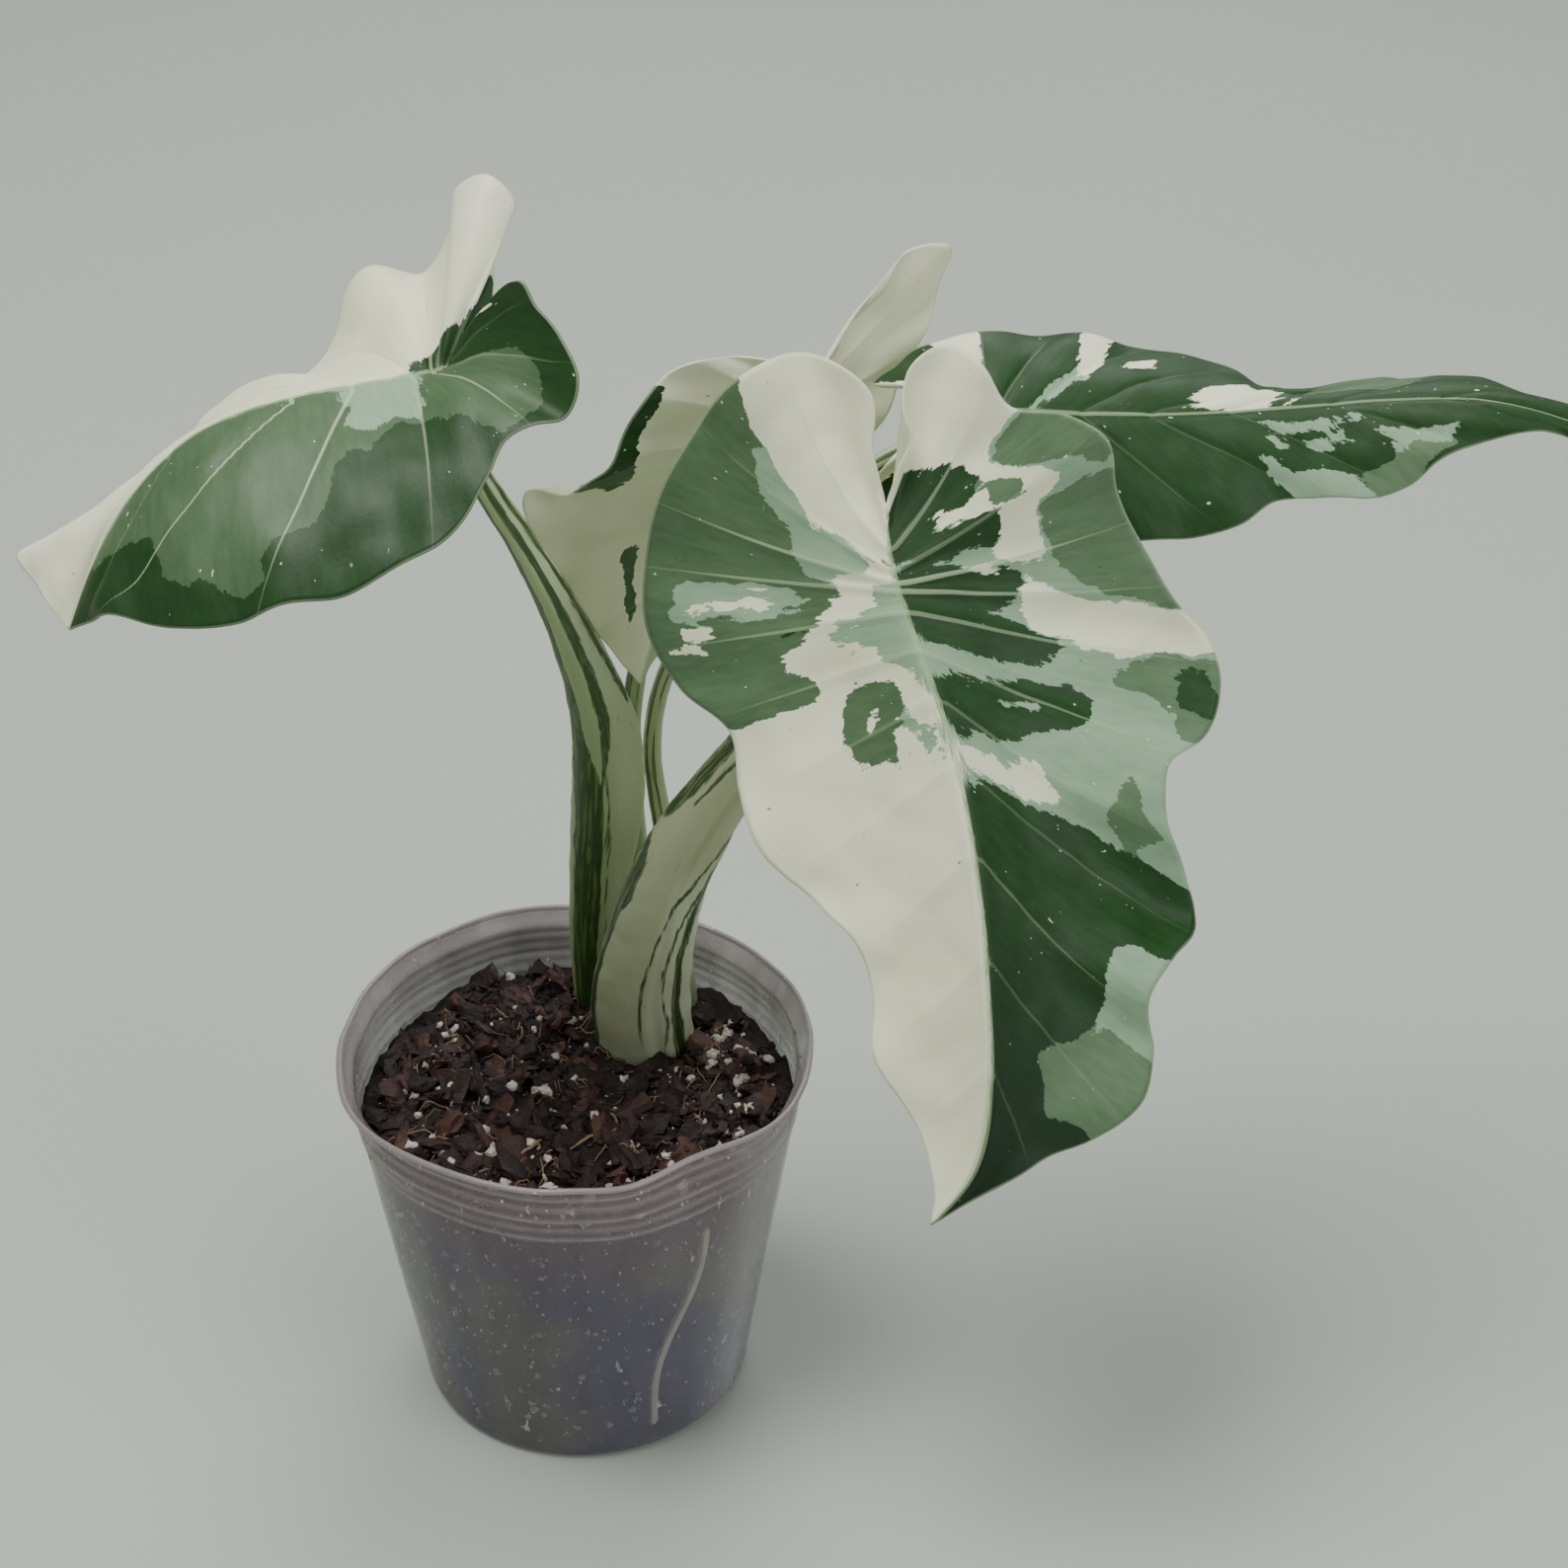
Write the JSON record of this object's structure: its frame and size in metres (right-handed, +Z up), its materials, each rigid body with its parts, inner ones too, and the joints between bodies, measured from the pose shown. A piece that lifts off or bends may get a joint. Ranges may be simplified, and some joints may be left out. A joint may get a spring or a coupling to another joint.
{
  "type": "potted alocasia",
  "caption": "Young variegated alocasia with long arrow-shaped leaves on sheathed stalks, in a clear nursery pot of bark mix.",
  "frame": {"origin": "centre of the pot's foot, on the surface that it stands on", "axes": "+Z up; +X towards the long leaf on the right, +Y away from the front of the plant"},
  "size_m": [0.3701, 0.1403, 0.3242],
  "materials": {
    "pot": "thin clear plastic, slightly hazed",
    "mix": "damp shredded bark, matte",
    "bark": "damp bark, matte",
    "perlite": "matte",
    "fibre": "matte",
    "root": "matte",
    "corm": "matte",
    "blade": "satin leaf, green and cream variegation",
    "petiole": "satin stalk, pale green with dark streaks"
  },
  "bodies": {
    "root": {"bark_chip_01": "bark", "bark_chip_02": "bark", "bark_chip_03": "bark", "bark_chip_04": "bark", "bark_chip_05": "bark", "bark_chip_06": "bark", "bark_chip_07": "bark", "bark_chip_08": "bark", "bark_chip_09": "bark", "bark_chip_10": "bark", "bark_chip_11": "bark", "bark_chip_12": "bark", "perlite_grain_01": "perlite", "perlite_grain_02": "perlite", "perlite_grain_03": "perlite", "perlite_grain_04": "perlite", "perlite_grain_05": "perlite", "perlite_grain_06": "perlite", "perlite_grain_07": "perlite", "perlite_grain_08": "perlite", "perlite_grain_09": "perlite", "perlite_grain_10": "perlite", "coir_fibre_1": "fibre", "coir_fibre_2": "fibre", "coir_fibre_3": "fibre", "pot": "pot", "potting_mix": "mix", "corm": "corm", "wall_root": "root", "petiole_left": "petiole", "petiole_front": "petiole", "petiole_back": "petiole", "petiole_right": "petiole", "blade_left": "blade", "blade_front": "blade", "blade_back": "blade", "blade_right": "blade"}
  },
  "joints": []
}
